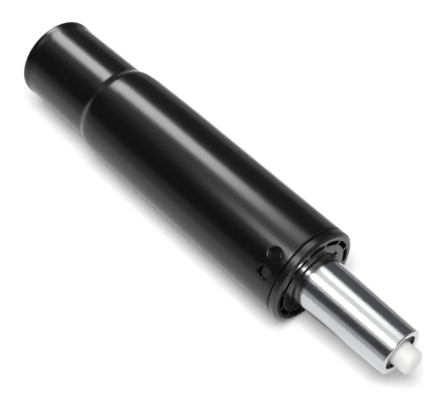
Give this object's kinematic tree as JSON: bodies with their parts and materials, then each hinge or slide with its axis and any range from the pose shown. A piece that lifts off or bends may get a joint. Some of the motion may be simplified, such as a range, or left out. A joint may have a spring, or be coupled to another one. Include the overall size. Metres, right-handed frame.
{
  "type": "chair gas lift cylinder",
  "caption": "Height-adjusting gas lift of a swivel chair: black necked column with a base taper, slotted guide bush, chromed pressure tube with a top taper and a white release button.",
  "frame": {"origin": "centre of the base taper's lower end, on the lift's axis", "axes": "+Z along the lift's axis from the base taper up to the release button; +X midway between one pair of lock holes"},
  "size_m": [0.054, 0.054, 0.275],
  "materials": {
    "column_paint": "satin black powder coat",
    "bush_plastic": "moulded black, satin",
    "tube_chrome": "bright chrome plate",
    "button_plastic": "natural white, satin",
    "plug_plastic": "dark grey, matt",
    "plain_steel": "zinc plated",
    "bearing_steel": "ground",
    "rod_steel": "ground and polished",
    "spring_steel": "blackened",
    "cage_brass": "stamped",
    "guide_brass": "turned",
    "cast_aluminium": "cast and turned",
    "drawn_aluminium": "drawn",
    "ring_plastic": "matt",
    "black_rubber": "moulded"
  },
  "bodies": {
    "column": {"column_tube": "column_paint", "base_plate": "plain_steel", "guide_bush": "bush_plastic", "lower_race": "bearing_steel"},
    "cage": {"ball_cage": "cage_brass", "bearing_balls": "bearing_steel"},
    "rod": {"upper_race": "bearing_steel", "rubber_buffer": "black_rubber", "clip_washer": "plain_steel", "retaining_clip": "spring_steel", "piston_rod": "rod_steel", "stop_washer": "plain_steel", "piston": "cast_aluminium", "piston_ring": "ring_plastic", "piston_nut": "plain_steel"},
    "cylinder": {"pressure_tube": "tube_chrome", "seal_retainer": "plain_steel", "rod_seal": "black_rubber", "rod_guide": "guide_brass", "guide_seal_ring": "black_rubber", "inner_tube": "drawn_aluminium", "valve_body": "guide_brass", "valve_seal_rings": "black_rubber", "pin_seal_rings": "black_rubber", "end_plug": "plug_plastic"},
    "button": {"valve_pin": "rod_steel", "release_button": "button_plastic"}
  },
  "joints": [
    {"name": "swivel", "type": "hinge", "parent": "column", "child": "rod", "pos_m": [0, 0, 0.019], "axis": [0, 0, 1], "continuous": true},
    {"name": "cage_roll", "type": "hinge", "parent": "column", "child": "cage", "pos_m": [0, 0, 0.019], "axis": [0, 0, 1], "continuous": true},
    {"name": "lift", "type": "slide", "parent": "rod", "child": "cylinder", "axis": [0, 0, 1], "range_m": [0, 0.1]},
    {"name": "release", "type": "slide", "parent": "cylinder", "child": "button", "axis": [0, 0, 1], "range_m": [-0.004, 0], "stiffness_N_per_m": 3000, "springref_m": 0.002}
  ],
  "couplings": [
    {"joint": "cage_roll", "follows": "swivel", "ratio": 0.5}
  ]
}
